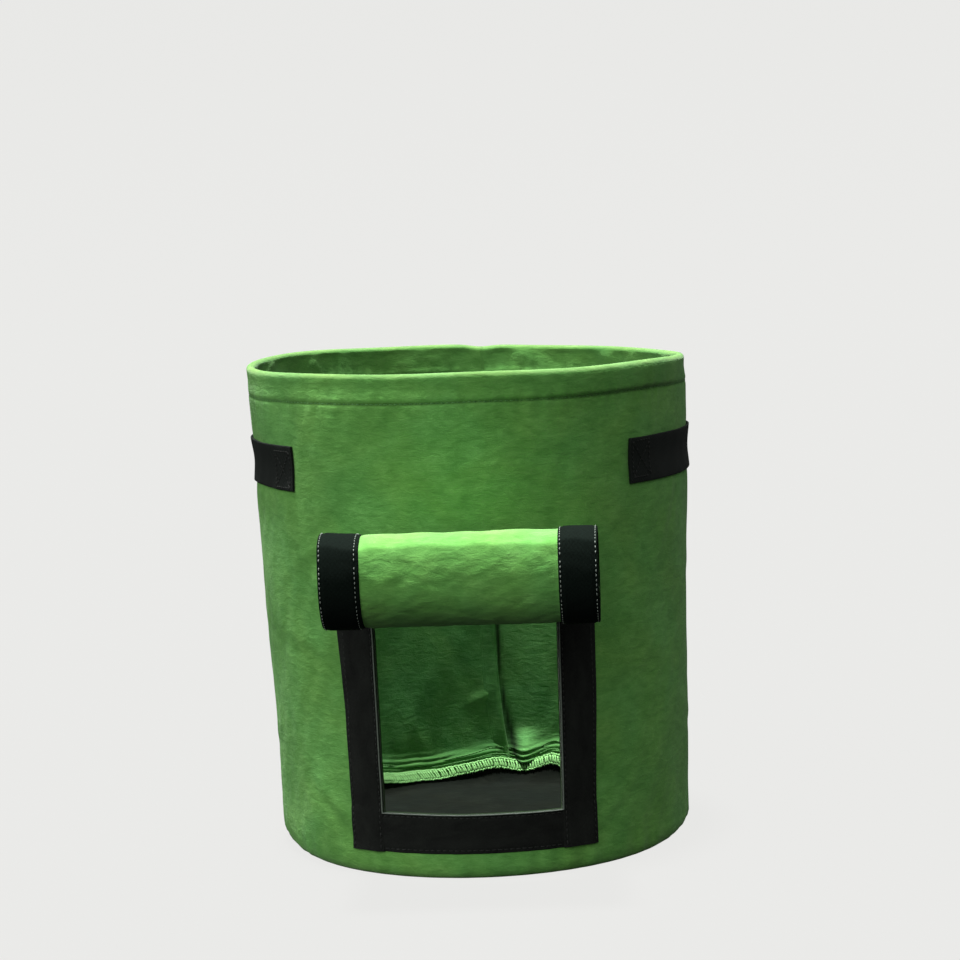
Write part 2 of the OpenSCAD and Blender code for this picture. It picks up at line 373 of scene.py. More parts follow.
def strip(name, s, across, place, material, body=None, origin=(0, 0), tone=1.0):
    """A strip of cloth: an outline carried along s by place(s, u, h), with closed ends."""
    u, h = across
    n, m = len(s), len(u)
    points = place(s[:, None], u[None, :], h[None, :])
    cloth = np.zeros((n, m, 3))
    cloth[..., 0] = u + origin[0]
    cloth[..., 1] = s[:, None] + origin[1]
    cloth[..., 2] = h
    faces = quads(n, m)
    half = m // 2
    for first, step in ((0, -1), ((n - 1) * m, 1)):
        faces += [[first + v for v in (j, j + 1, m - 2 - j, m - 1 - j)][::step]
                  for j in range(half - 1)]
    ends = np.zeros((n, m))
    ends[0], ends[-1] = 1, 2
    return build(name, points.reshape(-1, 3), faces, material, cloth.reshape(-1, 3), body,
                 ends.ravel(), tone)


def tubes(name, paths, up, radius, material, body=None, sides=6, flatten=1.0):
    """Many threads as one piece. paths is threads by points by 3, and up is their outward sides."""
    paths = np.asarray(paths, float)
    count, n = paths.shape[:2]
    tangent = np.gradient(paths, axis=1)
    tangent /= np.linalg.norm(tangent, axis=-1, keepdims=True)
    up = np.broadcast_to(np.asarray(up, float), paths.shape)
    side = np.cross(tangent, up)
    side /= np.maximum(np.linalg.norm(side, axis=-1, keepdims=True), 1e-9)
    out = np.cross(side, tangent)
    turn = np.linspace(0, 2 * math.pi, sides, endpoint=False)
    taper = np.ones(n)
    taper[[0, -1]] = 0.35
    ring = radius * taper[None, :, None, None]
    points = paths[:, :, None, :] + ring * (
        np.cos(turn)[None, None, :, None] * side[:, :, None, :]
        + flatten * np.sin(turn)[None, None, :, None] * out[:, :, None, :])
    cloth = np.zeros(points.shape)
    length = np.linalg.norm(np.diff(paths, axis=1), axis=-1).cumsum(1)
    cloth[:, 1:, :, 1] = length[:, :, None]
    cloth[..., 0] = turn[None, None, :] * radius
    one = quads(n, sides)
    caps = [list(range(sides)), list(range((n - 1) * sides, n * sides))[::-1]]
    faces = [[v + k * n * sides for v in f] for k in range(count) for f in one + caps]
    return build(name, points.reshape(-1, 3), faces, material, cloth.reshape(-1, 3), body)


def stitches(name, lines, material, body=None, pitch=4 * MM, length=3.1 * MM, radius=0.36 * MM):
    """Lockstitches along lines of points and normals: each rises, lies flat and dives again."""
    along = np.array([-0.5, -0.34, 0, 0.34, 0.5]) * length
    rise = np.array([-0.5, 0.16, 0.3, 0.16, -0.5]) * MM
    paths, ups = [], []
    for points, normals in lines:
        run = np.concatenate([[0], np.linalg.norm(np.diff(points, axis=0), axis=1).cumsum()])
        for centre in np.arange(pitch / 2, run[-1] - pitch / 2, pitch):
            at = centre + along
            path = np.stack([np.interp(at, run, points[:, i]) for i in range(3)], -1)
            up = np.array([np.interp(centre, run, normals[:, i]) for i in range(3)])
            up /= np.linalg.norm(up)
            paths.append(path + rise[:, None] * up)
            ups.append(np.tile(up, (len(along), 1)))
    return tubes(name, paths, ups, radius, material, body, flatten=0.8)


def wall_line(a, z, off):
    """Points and normals of a line on the wall, for stitches."""
    a, z = np.broadcast_arrays(np.asarray(a, float), np.asarray(z, float))
    return wall_point(a, z, off), wall_normal(a, z)


# ---------------------------------------------------------------- materials
class Nodes:
    """Short names for adding shader nodes to one material."""

    def __init__(self, name, slot):
        self.material = bpy.data.materials.new(name)
        self.material.use_nodes = True
        self.material["slot"] = slot
        self.tree = self.material.node_tree
        self.bsdf = self.tree.nodes["Principled BSDF"]
        attribute = self.add("ShaderNodeAttribute")
        attribute.attribute_name = "cloth"
        scaled = self.add("ShaderNodeVectorMath")
        scaled.operation = "SCALE"
        self.link(attribute.outputs["Vector"], scaled.inputs[0])
        scaled.inputs["Scale"].default_value = 1 / MM
        self.cloth_mm = scaled.outputs[0]

    def add(self, kind):
        return self.tree.nodes.new(kind)

    def link(self, out, into):
        self.tree.links.new(out, into)

    def turned(self, degrees, stretch):
        """The cloth's coordinates in mm, turned and stretched."""
        node = self.add("ShaderNodeMapping")
        node.inputs["Rotation"].default_value[2] = math.radians(degrees)
        node.inputs["Scale"].default_value = (*stretch, 1)
        self.link(self.cloth_mm, node.inputs["Vector"])
        return node.outputs[0]

    def noise(self, vector, per_mm, detail=3, roughness=0.5, distortion=0.0):
        node = self.add("ShaderNodeTexNoise")
        node.inputs["Scale"].default_value = per_mm
        node.inputs["Detail"].default_value = detail
        node.inputs["Roughness"].default_value = roughness
        node.inputs["Distortion"].default_value = distortion
        self.link(vector, node.inputs["Vector"])
        return node.outputs[0]

    def math(self, operation, a, b=0.0):
        node = self.add("ShaderNodeMath")
        node.operation = operation
        for value, socket in ((a, node.inputs[0]), (b, node.inputs[1])):
            if isinstance(value, (int, float)):
                socket.default_value = value
            else:
                self.link(value, socket)
        return node.outputs[0]

    def ramp(self, value, *stops):
        """Colour by value; each stop is (place, (r, g, b))."""
        node = self.add("ShaderNodeValToRGB")
        elements = node.color_ramp.elements
        while len(elements) < len(stops):
            elements.new(0.5)
        for element, (place, colour) in zip(elements, stops):
            element.position = place
            element.color = (*colour, 1)
        self.link(value, node.inputs[0])
        return node.outputs[0]

    def mix(self, kind, share, a, b):
        node = self.add("ShaderNodeMix")
        node.data_type = "RGBA"
        node.blend_type = kind
        for value, socket in ((share, node.inputs[0]), (a, node.inputs[6]), (b, node.inputs[7])):
            if isinstance(value, (int, float)):
                socket.default_value = value
            elif isinstance(value, tuple):
                socket.default_value = (*value, 1)
            else:
                self.link(value, socket)
        return node.outputs[2]

    def bump(self, height, distance_mm, strength, under=None):
        node = self.add("ShaderNodeBump")
        node.inputs["Distance"].default_value = distance_mm * MM
        node.inputs["Strength"].default_value = strength
        self.link(height, node.inputs["Height"])
        if under is not None:
            self.link(under, node.inputs["Normal"])
        return node.outputs[0]

    def finish(self, colour, normal, roughness=0.9, sheen=0.0, sheen_tint=(1, 1, 1),
               specular=0.25):
        self.link(colour, self.bsdf.inputs["Base Color"])
        self.link(normal, self.bsdf.inputs["Normal"])
        self.bsdf.inputs["Roughness"].default_value = roughness
        self.bsdf.inputs["Specular IOR Level"].default_value = specular
        self.bsdf.inputs["Sheen Weight"].default_value = sheen
        self.bsdf.inputs["Sheen Roughness"].default_value = 0.5
        self.bsdf.inputs["Sheen Tint"].default_value = (*sheen_tint, 1)
        return self.material


def felt(name, slot, dark, mid, light, sheen, specular):
    """Needle-punched felt: matted fibres lying mostly across, cloudy colour and small lumps."""
    n = Nodes(name, slot)
    fibres = [n.noise(n.turned(turn, stretch), 1.5, 3, 0.6, 1.2)
              for turn, stretch in ((8, (0.14, 1)), (-14, (0.12, 1)), (52, (0.18, 1)))]
    matted = n.math("MAXIMUM", n.math("MAXIMUM", fibres[0], fibres[1]), fibres[2])
    fuzz = n.noise(n.cloth_mm, 1.1, 5, 0.65)
    lumps = n.noise(n.turned(4, (0.45, 1)), 0.24, 3, 0.6, 0.5)
    clouds = n.noise(n.turned(12, (0.7, 1)), 0.045, 4, 0.6, 0.8)
    tone = n.math("ADD", n.math("MULTIPLY", clouds, 0.32), n.math("MULTIPLY", lumps, 0.30))
    tone = n.math("ADD", tone, n.math("MULTIPLY", matted, 0.38))
    colour = n.ramp(tone, (0.35, dark), (0.53, mid), (0.71, light))
    warmth = n.noise(n.turned(-15, (1, 1)), 0.022, 2, 0.5, 0.5)
    tint = n.ramp(warmth, (0.35, (0.90, 1.0, 1.08)), (0.65, (1.10, 1.0, 0.90)))
    colour = n.mix("MULTIPLY", 0.5, colour, tint)
    # The tone attribute: painted shade and painted highlights, and the window's black-bound edges.
    painted_light = n.add("ShaderNodeAttribute")
    painted_light.attribute_name = "tone"
    colour = n.mix("MULTIPLY", 1.0, colour, painted_light.outputs["Vector"])
    height = n.math("ADD", n.math("MULTIPLY", matted, 0.7), n.math("MULTIPLY", fuzz, 0.5))
    normal = n.bump(lumps, 1.6, 0.35)
    normal = n.bump(height, 0.5, 0.42, normal)
    return n.finish(colour, normal, 0.95, sheen, tuple(0.5 + 0.5 * c for c in light), specular)


def ribbed(n, per_mm_u, per_mm_v):
    """Height of a plain weave: threads over and under, as two crossed waves."""
    parts = n.add("ShaderNodeSeparateXYZ")
    n.link(n.cloth_mm, parts.inputs[0])
    u = n.math("SINE", n.math("MULTIPLY", parts.outputs[0], per_mm_u * 2 * math.pi))
    v = n.math("SINE", n.math("MULTIPLY", parts.outputs[1], per_mm_v * 2 * math.pi))
    return n.math("ADD", n.math("MULTIPLY", n.math("MULTIPLY", u, v), 0.5), 0.5)


def webbing(name, slot):
    """Woven polypropylene webbing: a tight plain weave with a slight shine on each thread."""
    n = Nodes(name, slot)
    weave = ribbed(n, 0.42, 0.50)
    fine = n.noise(n.turned(0, (4, 0.5)), 1.6, 2, 0.5)
    wear = n.noise(n.cloth_mm, 0.05, 4, 0.6)
    tone = n.math("ADD", n.math("MULTIPLY", weave, 0.6), n.math("MULTIPLY", fine, 0.4))
    colour = n.ramp(tone, (0.2, (0.0015, 0.0026, 0.0018)), (0.8, (0.0065, 0.0105, 0.0078)))
    colour = n.mix("MIX", n.math("MULTIPLY", wear, 0.25), colour, (0.009, 0.012, 0.010))
    height = n.math("ADD", weave, n.math("MULTIPLY", fine, 0.25))
    return n.finish(colour, n.bump(height, 0.5, 0.6), 0.75, specular=0.15)


def loop_tape(name, slot):
    """Soft loop tape: a nap of fine loops, matt and slightly dusty."""
    n = Nodes(name, slot)
    loops = n.noise(n.cloth_mm, 1.3, 4, 0.7, 0.8)
    nap = n.noise(n.turned(0, (1, 0.35)), 0.14, 3, 0.5, 0.5)
    tone = n.math("ADD", n.math("MULTIPLY", loops, 0.5), n.math("MULTIPLY", nap, 0.5))
    colour = n.ramp(tone, (0.34, (0.003, 0.0036, 0.003)), (0.68, (0.010, 0.012, 0.0098)))
    normal = n.bump(loops, 0.7, 0.7, n.bump(nap, 0.8, 0.3))
    return n.finish(colour, normal, 0.92, 0.04, (0.4, 0.45, 0.4), specular=0.12)


def hook_tape(name, slot):
    """Hook tape: rows of small stiff hooks on a woven ground."""
    n = Nodes(name, slot)
    hooks = ribbed(n, 0.33, 0.33)
    ground = n.noise(n.cloth_mm, 2.0, 3, 0.6)
    tone = n.math("ADD", n.math("MULTIPLY", hooks, 0.12), n.math("MULTIPLY", ground, 0.88))
    colour = n.ramp(tone, (0.25, (0.0011, 0.0021, 0.0014)), (0.8, (0.0042, 0.0080, 0.0060)))
    normal = n.bump(ground, 0.3, 0.5, n.bump(hooks, 0.5, 0.1))
    return n.finish(colour, normal, 0.9, specular=0.04)


def thread(name, slot, dark, light):
    """Twisted sewing thread: slanting plies across each stitch."""
    n = Nodes(name, slot)
    parts = n.add("ShaderNodeSeparateXYZ")
    n.link(n.cloth_mm, parts.inputs[0])
    slant = n.math("ADD", n.math("MULTIPLY", parts.outputs[0], 2.0), parts.outputs[1])
    plies = n.math("SINE", n.math("MULTIPLY", slant, 9.0))
    tone = n.math("ADD", n.math("MULTIPLY", plies, 0.35), 0.5)
    fluff = n.noise(n.cloth_mm, 2.5, 3, 0.6)
    colour = n.ramp(n.math("ADD", n.math("MULTIPLY", tone, 0.6), n.math("MULTIPLY", fluff, 0.4)),
                    (0.3, dark), (0.7, light))
    return n.finish(colour, n.bump(tone, 0.15, 0.6), 0.6, 0.1, light)


def stage_paint():
    """Pale paint with a glow of its own, so that floor and backdrop read as one even tone."""
    material = bpy.data.materials.new("stage")
    material.use_nodes = True
    bsdf = material.node_tree.nodes["Principled BSDF"]
    bsdf.inputs["Base Color"].default_value = (0.006, 0.006, 0.006, 1)
    bsdf.inputs["Roughness"].default_value = 1.0
    bsdf.inputs["Specular IOR Level"].default_value = 0.0
    bsdf.inputs["Emission Color"].default_value = (0.795, 0.795, 0.78, 1)
    bsdf.inputs["Emission Strength"].default_value = 1.0
    return material


GREEN = felt("green_felt", "green_felt",
             (0.044, 0.155, 0.024), (0.084, 0.240, 0.048), (0.135, 0.335, 0.080), 0.13, 0.15)
BLACK = felt("black_felt", "black_felt",
             (0.0018, 0.0025, 0.0017), (0.0036, 0.0050, 0.0034), (0.0068, 0.0088, 0.0064),
             0.005, 0.05)
WEB = webbing("webbing", "webbing")
LOOP = loop_tape("loop_tape", "loop_tape")
HOOK = hook_tape("hook_tape", "hook_tape")
GREEN_THREAD = thread("green_thread", "green_thread", (0.03, 0.11, 0.02), (0.07, 0.21, 0.05))
LIME_THREAD = thread("overlock_thread", "overlock_thread", (0.10, 0.27, 0.07), (0.26, 0.54, 0.19))
BLACK_THREAD = thread("black_thread", "black_thread", (0.004, 0.005, 0.004), (0.014, 0.017, 0.014))
PALE_THREAD = thread("pale_thread", "pale_thread", (0.09, 0.11, 0.09), (0.28, 0.32, 0.28))
GREY_THREAD = thread("grey_thread", "pale_thread", (0.05, 0.065, 0.05), (0.14, 0.17, 0.14))


# ---------------------------------------------------------------- wall and hem
def wall_profile():
    """The wall's section, as offsets and heights: up the outside, over the folded rim, down the
    hem to its raw edge, and down the inside. Also returns where each of those parts starts."""
    fold = 2.6 * MM
    bulge = 0.4 * MM
    low = EDGE_R * (1 - np.cos(np.linspace(0.12, math.pi / 2, 6)))
    side = np.concatenate([
        low, np.linspace(EDGE_R, SILL_HIGH, 31)[1:], np.linspace(SILL_HIGH, WINDOW_TOP, 52)[1:],
        np.linspace(WINDOW_TOP, HEM_Z - 3 * MM, 31)[1:],
        HEM_Z + np.array([-1.5, -0.4, 0.3, 1.0, 1.7, 2.4, 3.6]) * MM,
        np.linspace(HEM_Z + 5 * MM, RIM_Z - fold - bulge, 5)])
    turn = np.linspace(0, math.pi, 9)[1:]
    side_off = bulge * smooth((side - RIM_Z + 9 * MM) / (6 * MM))
    rim_off = -fold + (fold + bulge) * np.cos(turn)
    rim_z = RIM_Z - fold - bulge + (fold + bulge) * np.sin(turn)
    hem_z = np.linspace(RIM_Z - fold - bulge, HEM_Z - 1 * MM, 11)[1:]
    hem_off = np.full(len(hem_z), -2 * fold + 0.3 * MM)
    raw_off = np.array([-2 * fold + 1.6 * MM, -FELT - 0.2 * MM])
    raw_z = np.full(2, HEM_Z - 1.6 * MM)
    inner = side[side < HEM_Z - 2 * MM][::-1]
    bottom = 5
    off = np.concatenate([side_off, rim_off, hem_off, raw_off, np.full(len(inner), -FELT)])
    z = np.concatenate([side, rim_z, hem_z, raw_z, inner])
    z[-bottom:] = np.maximum(z[-bottom:], 0) + FELT * np.linspace(0.2, 1, bottom)
    starts = np.cumsum([len(side), len(rim_z), len(hem_z), len(raw_z)])
    return off, z, starts


def wall():
    """The felt wall with its folded hem and the cut window, as one thick cloth."""
    off, z, (rim_row, hem_row, raw_row, inner_row) = wall_profile()
    m, n = len(z), 360
    angles = np.radians(np.arange(n) - 180.0)
    left, right = (int(np.argmin(abs(angles - a))) for a in (-WINDOW_A, WINDOW_A))
    angles[left], angles[right] = -WINDOW_A, WINDOW_A
    a, rows = angles[:, None], np.arange(m)
    offs = np.tile(off, (n, 1))
    hem = slice(hem_row, raw_row)
    drop = (RIM_Z - z[hem]) / (RIM_Z - HEM_Z)
    loose = np.sin(math.pi * np.clip(drop, 0, 1) ** 0.8)
    offs[:, hem] -= (0.15 + 0.65 * hem_folds(a, z[None, hem])) * loose * MM
    offs[:, :rim_row] -= 0.9 * MM * bell(seam_across(a, z[None, :rim_row]), 2 * MM)
    offs[:, inner_row:] -= inner_relief(a, z[None, inner_row:])
    points = wall_point(a, z[None, :], offs)
    in_window = (z > SILL_HIGH - 1e-6) & (z < WINDOW_TOP + 1e-6)
    outer = rows[in_window & (rows < rim_row)]
    inner = rows[in_window & (rows >= inner_row)]
    skip = np.zeros((n, m), bool)
    skip[left:right, outer[0]:outer[-1]] = True
    skip[left:right, inner[0]:inner[-1]] = True
    faces = quads(n, m, True, True, skip)
    pairs = list(zip(outer, inner[::-1]))
    for column, flip in ((left, False), (right, True)):
        for (o, i), (o2, i2) in zip(pairs, pairs[1:]):
            face = [column * m + v for v in (o, o2, i2, i)]
            faces.append(face[::-1] if flip else face)
    for (o, i), flip in ((pairs[0], True), (pairs[-1], False)):
        for c in range(left, right):
            face = [c * m + o, (c + 1) * m + o, (c + 1) * m + i, c * m + i]
            faces.append(face[::-1] if flip else face)
    cloth = np.zeros((n, m, 3))
    cloth[..., 0] = BASE_R * angles[:, None]
    cloth[..., 1] = np.where(rows < rim_row + 4, z, z + 0.5)
    cloth[..., 2] = off
    fold_end = rim_row + 6
    # Painted shade inside the bag and on its hem, and a painted highlight along the rim's fold.
    tone = np.ones((n, m, 3))
    tone[:, inner_row:] = INNER_SHADE_TONE
    tone[:, fold_end:inner_row] = HEM_SHADE_TONE
    tone[:, rim_row:fold_end] = RIM_HIGHLIGHT_TONE
    # Painted shade in the gap beside the back seam's allowance.
    tone[:, inner_row:] *= (1 - 0.9 * valley(a, z[inner_row:], 0.45))[..., None]
    # Painted shade along the hem's sunk line of stitching.
    tone[:, :rim_row] *= (1 - 0.45 * bell(z[:rim_row] - SEWN_Z, 1.1 * MM))[None, :, None]
    tone[[left, right], outer[0]:outer[-1]] = CUT_TONE
    tone[[left, right], inner[0]:inner[-1]] = CUT_TONE
    tone[left:right + 1, [outer[0], inner[-1]]] = CUT_TONE
    piece = build("wall_felt", points.reshape(-1, 3), faces, GREEN, cloth.reshape(-1, 3), "root",
                  None, tone.reshape(-1, 3))
    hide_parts("wall_panel", "rim_hem")
    turn = np.linspace(-math.pi, math.pi, 900)
    line = stitches("hem_stitches", [wall_line(turn, SEWN_Z, -0.1 * MM)],
                    GREEN_THREAD, "root", 3.4 * MM, 2.7 * MM, 0.3 * MM)
    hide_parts("rim_hem_stitching")


def back_seam():
    """The wall's two ends, turned in together and pressed over to the left."""
    s = np.linspace(SEAM_Z + 1 * MM, HEM_Z - 1 * MM, 110)
    flutter = ripple(31, 5, (0, 0), (20, 90))

    def place(layer):
        def at(s, u, h):
            press = 0.6 * (1 - 0.88 * smooth(u / SEAM_WIDTH))
            inward = (h + layer * (FELT + 0.05 * MM)) * press + 0.1 * MM
            inward = inward + (0.3 + 0.2 * flutter(0, s)) * MM * bell(u - 2 * MM, 2.5 * MM)
            a = math.pi + seam_turn(s) + (u + 0.3 * MM * flutter(1, s)) / BASE_R
            return wall_point(a, s, -FELT - inward)
        return at

    for layer in (0, 1):
        # The allowance carries the inner face's painted shade.
        piece = strip(f"back_seam_allowance_{layer + 1}", s,
                      section(0, SEAM_WIDTH - layer * 1.5 * MM, 0, FELT, 9), place(layer), GREEN,
                      "root", tone=INNER_SHADE_TONE)
        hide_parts("back_seam_allowance")
    seam_z = np.linspace(2 * EDGE_R, HEM_Z, 200)
    line = stitches("back_seam_stitches",
                    [wall_line(math.pi + seam_turn(seam_z), seam_z, -0.8 * MM)],
                    GREEN_THREAD, "root")
    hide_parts("back_seam_stitching")


# ---------------------------------------------------------------- base and its seam
ring_sway = ripple(21, 8, (3, 14), (0, 0))
ring_top = ripple(22, 10, (5, 26), (0, 0))


def seam_top(a):
    """Height in mm of the base seam's upper edge above the base, all round."""
    droop = 4.0 * smooth((wrapped(a - math.pi) - 0.02) / 0.4)
    curl = 4.0 * bell(wrapped(a - math.radians(160)), math.radians(4.5))
    return (SEAM_Z - FELT) / MM + 2.2 + 1.0 * ring_top(a) + curl - droop


def ring(a, r, z):
    """Points at angles a, all r from the bag's axis and z up."""
    return np.stack([r * np.sin(a), -r * np.cos(a), z], -1)


def seam_ring(a, height, inward):
    """A point on the base seam, which stands inside the bag and leans out against the wall.
    height is 0 at its foot and 1 at its top, and inward is in mm."""
    r = BASE_FLAT_R - 4.5 * MM + height * (6.0 + 1.1 * ring_sway(a)) * MM - inward * MM
    return ring(a, r, FELT + height * seam_top(a) * MM)


def base():
    """The black base felt: slightly creased, with its edge turned up into the seam."""
    floor = ripple(23, 14, (1, 7), (18, 70))
    a = np.linspace(-math.pi, math.pi, 240, endpoint=False)
    under_r = np.linspace(1 * MM, BASE_FLAT_R - 1 * MM, 14)
    over_r = np.linspace(BASE_FLAT_R - 9 * MM, 1 * MM, 34)
    rows = [ring(a, r, 0 * a) for r in under_r]
    turned_up = 1 - 4.0 / seam_top(a)
    for share, inward in ((0.02, -2.2), (0.4, -2.0), (0.8, -1.9), (0.95, -1.6), (1.0, -0.8),
                          (0.95, -0.1), (0.7, 0.0), (0.4, 0.2), (0.1, 1.6)):
        rows.append(seam_ring(a, share * turned_up, inward))
    for r in over_r:
        calm = smooth((BASE_FLAT_R - 4 * MM - r) / (14 * MM))
        z = FELT + 0.5 * MM * (1 - calm) + calm * 0.45 * MM * (1.3 + floor(a, r + 0 * a)) * \
            smooth(r / (20 * MM))
        rows.append(ring(a, r, z))
    points = np.array(rows)
    n, m = points.shape[:2]
    faces = quads(n, m)
    faces += [list(range(m)), list(range((n - 1) * m, n * m))[::-1]]
    points = points.reshape(-1, 3)
    piece = build("base_felt", points, faces, BLACK, points, "root")
    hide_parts("base_panel")


def base_seam():
    """The wall's allowance round the base, which stands up inside the bag."""
    s = np.linspace(-math.pi, math.pi, 361)

    def place(s, u, h):
        return seam_ring(s + 0 * u, u / SEAM_Z + 0 * s, -2.3 - h / MM)

    allowance = strip("base_seam_edge", s, section(0.8 * MM, SEAM_Z, 0, FELT, 8), place,
                      GREEN, "root")
    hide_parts("base_seam_allowance")


def overlock():
    """The thread that binds the seam's edge: a loop over it at each stitch, two looper threads
    along it, and two rows of chain stitches above."""
    rng = np.random.default_rng(24)
    count = 400
    pitch = 2 * math.pi / count
    turn = (np.arange(count) + rng.uniform(-0.18, 0.18, count)) * pitch
    reach = 1 - (5.0 + 0.3 * rng.standard_normal(count)) / seam_top(turn)
    loop = [(-0.06, 0.2, 0.1), (0.0, 1.2, 0.0), (0.3, 1.6, 0.2), (0.6, 1.2, 0.45),
            (0.85, 0.2, 0.7), (1.06, -1.6, 0.9), (1.08, -2.6, 1.1), (0.9, -5.0, 1.3)]
    paths = np.stack([
        seam_ring(turn + slant * pitch * 0.7, reach + height * (1 - reach), inward)
        for height, inward, slant in loop], 1)
    inwards = -ring(turn, 1, 0 * turn + 0.8)[:, None, :]
    loops = tubes("base_seam_loops", paths, inwards, 1.15 * MM, LIME_THREAD, "root", 6, 0.6)

    a = np.linspace(-math.pi, math.pi, 2400)
    wave = 0.035 * np.sin(count * a) + 0.015 * np.sin(count * 0.37 * a)
    paths = np.stack([seam_ring(a, height + wave, inward)
                      for height, inward in ((1 - 5.2 / seam_top(a), 1.3), (1.04, -0.6))])
    inwards = -ring(a, 1, 0 * a + 0.8)[None]
    looper = tubes("base_seam_looper", paths, inwards, 0.6 * MM, LIME_THREAD, "root", 6)

    a = np.linspace(-math.pi, math.pi, 500)
    rows = [(seam_ring(a, height + 0 * a, inward), -ring(a, 1, 0 * a))
            for height, inward in ((1.22, -2.2), (1.5, -2.6))]
    chain = stitches("base_seam_chain", rows, GREEN_THREAD, "root", 2.6 * MM, 2.9 * MM, 0.5 * MM)
    for piece in (loops, looper, chain):
        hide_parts("base_seam_overlock")


# ---------------------------------------------------------------- handles
def handle(side, name):
    """A webbing handle: two halves that meet in the middle, each sewn down at its outer end."""
    body = f"handle_{name}"
    middle = math.pi / 2
    slack = ripple(41 + side, 5, (2, 7), (0, 20))

    def place(s, u, h):
        a = s / BASE_R
        bow = smooth((np.minimum(a, math.pi - a) - STRAP_A1) / (middle - STRAP_A1))
        tilt = 1.0 * MM * np.cos(3 * a) * side
        off = h + 0.1 * MM + bow * (0.12 + 0.12 * slack(a)) * MM
        return wall_point(side * a, u + tilt, off)

    across = section(STRAP_LOW, STRAP_HIGH, 0.2 * MM, WEBBING + 0.2 * MM, 12)
    for half, end, sewn in (("front", STRAP_A0, STRAP_A1 + 0.01),
                            ("rear", math.pi - STRAP_A0, math.pi - STRAP_A1 - 0.01)):
        a = np.linspace(end, middle, 60)
        piece = strip(f"{body}_{half}", a * BASE_R, across, place, WEB)
        bent = sewn + 0.7 * (middle - sewn)
        tuple(wall_point(side * sewn, STRAP_MIDDLE))
        tuple(wall_point(side * bent, STRAP_MIDDLE))
        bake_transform(piece)
        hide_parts(f"{body}_{half}_end", f"{body}_loop")
    handle_stitches(side, body)


def handle_stitches(side, body):
    """The crossed boxes of stitches on the handle's two ends."""
    inset_z, inset_a = 3.0 * MM, 3.2 * MM / BASE_R
    z0, z1 = STRAP_LOW + inset_z, STRAP_HIGH - inset_z
    t = np.linspace(0, 1, 30)
    lines = []
    for start, end in ((STRAP_A0, STRAP_A1), (math.pi - STRAP_A1, math.pi - STRAP_A0)):
        a0, a1 = side * (start + inset_a), side * (end - inset_a)
        for (b0, y0), (b1, y1) in (((a0, z0), (a1, z0)), ((a1, z0), (a1, z1)),
                                   ((a1, z1), (a0, z1)), ((a0, z1), (a0, z0)),
                                   ((a0, z0), (a1, z1)), ((a0, z1), (a1, z0))):
            lines.append(wall_line(b0 + (b1 - b0) * t, y0 + (y1 - y0) * t, WEBBING + 0.3 * MM))
    box = stitches(f"{body}_stitches", lines, BLACK_THREAD, "root", 3.2 * MM, 2.6 * MM)
    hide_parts(f"{body}_stitching")


# ---------------------------------------------------------------- window tape
def tape_outline(u0, u1):
    """Tape: thin selvedges that take the stitching, and a thicker nap between them."""
    u, h = section(u0, u1, -0.4 * MM, TAPE, 26)
    edge = np.minimum(u - u0, u1 - u)
    return u, np.where(h > 0.2 * MM, h - 0.45 * MM * (1 - smooth((edge - 2.4 * MM) / MM)), h)


def window_tape():
    """Loop tape down both sides of the window and across its sill, with its stitching."""
    inner, outer = WINDOW_A * BASE_R, FRAME_A * BASE_R
    over_sill = lambda s, u: 0.6 * MM * (1 - smooth((s - SILL_HIGH) / (3 * MM)))
    legs = (("left", -outer, -inner, 4.2 * MM), ("right", inner, outer, 2.0 * MM))
    for name, u0, u1, spread in legs:
        def place(s, u, h):
            wider = spread * smooth((s - 60 * MM) / (150 * MM))
            u = np.sign(u) * (abs(u) + wider * (abs(u) - inner) / (outer - inner))
            return wall_point(u / BASE_R, s, h + over_sill(s, u))
        leg = strip(f"window_loop_{name}", np.linspace(SILL_LOW, WINDOW_TOP + 2 * MM, 90),
                    tape_outline(u0, u1), place, LOOP, "root")
        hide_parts(f"window_tape_{name}")

    def along_sill(s, u, h):
        return wall_point(s / BASE_R, u, h)

    sill = strip("window_loop_sill", np.linspace(-outer + MM, outer - MM, 90),
                 tape_outline(SILL_LOW, SILL_HIGH), along_sill, LOOP, "root")
    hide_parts("window_tape_bottom")
    lines = []
    z = np.linspace(SILL_LOW + 1 * MM, WINDOW_TOP, 160)
    top = TAPE - 0.4 * MM
    for edge in (inner + STITCH_INSET, outer - STITCH_INSET):
        for side in (-1, 1):
            lines.append(wall_line(side * edge / BASE_R, z, top + over_sill(z, 0)))
    a = np.linspace(-inner, inner, 120) / BASE_R
    for height in (SILL_LOW + STITCH_INSET, SILL_HIGH - STITCH_INSET):
        lines.append(wall_line(a, height, top))
    seams = stitches("window_tape_stitches", lines, BLACK_THREAD, "root")
    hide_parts("window_tape_stitching")


def window_edge():
    """The fine pale thread along the window's cut edge: down one side, along the sill and up."""
    inset = 0.4 * MM
    a_edge = WINDOW_A + inset / BASE_R
    z = np.linspace(WINDOW_TOP, SILL_HIGH - inset, 80)
    a = np.linspace(-a_edge, a_edge, 80)[1:-1]
    angles = np.concatenate([-a_edge + 0 * z, a, a_edge + 0 * z])
    heights = np.concatenate([z, SILL_HIGH - inset + 0 * a, z[::-1]])
    path = wall_point(angles, heights, TAPE + 0.05 * MM)
    edge = tubes("window_edging", path[None], wall_normal(angles, heights)[None],
                 0.5 * MM, GREY_THREAD, "root", 8)
    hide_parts("window_edge_thread")


# ---------------------------------------------------------------- flap
TURNS = [math.radians(j["range_deg"][1]) for j in FOLDS]
HEADINGS = np.concatenate([[-LEAN], -LEAN + np.cumsum(TURNS)])


def heading(angle):
    """Direction down the cloth in the YZ plane, for its angle from straight down."""
    return np.stack([-np.sin(angle), -np.cos(angle)], -1)


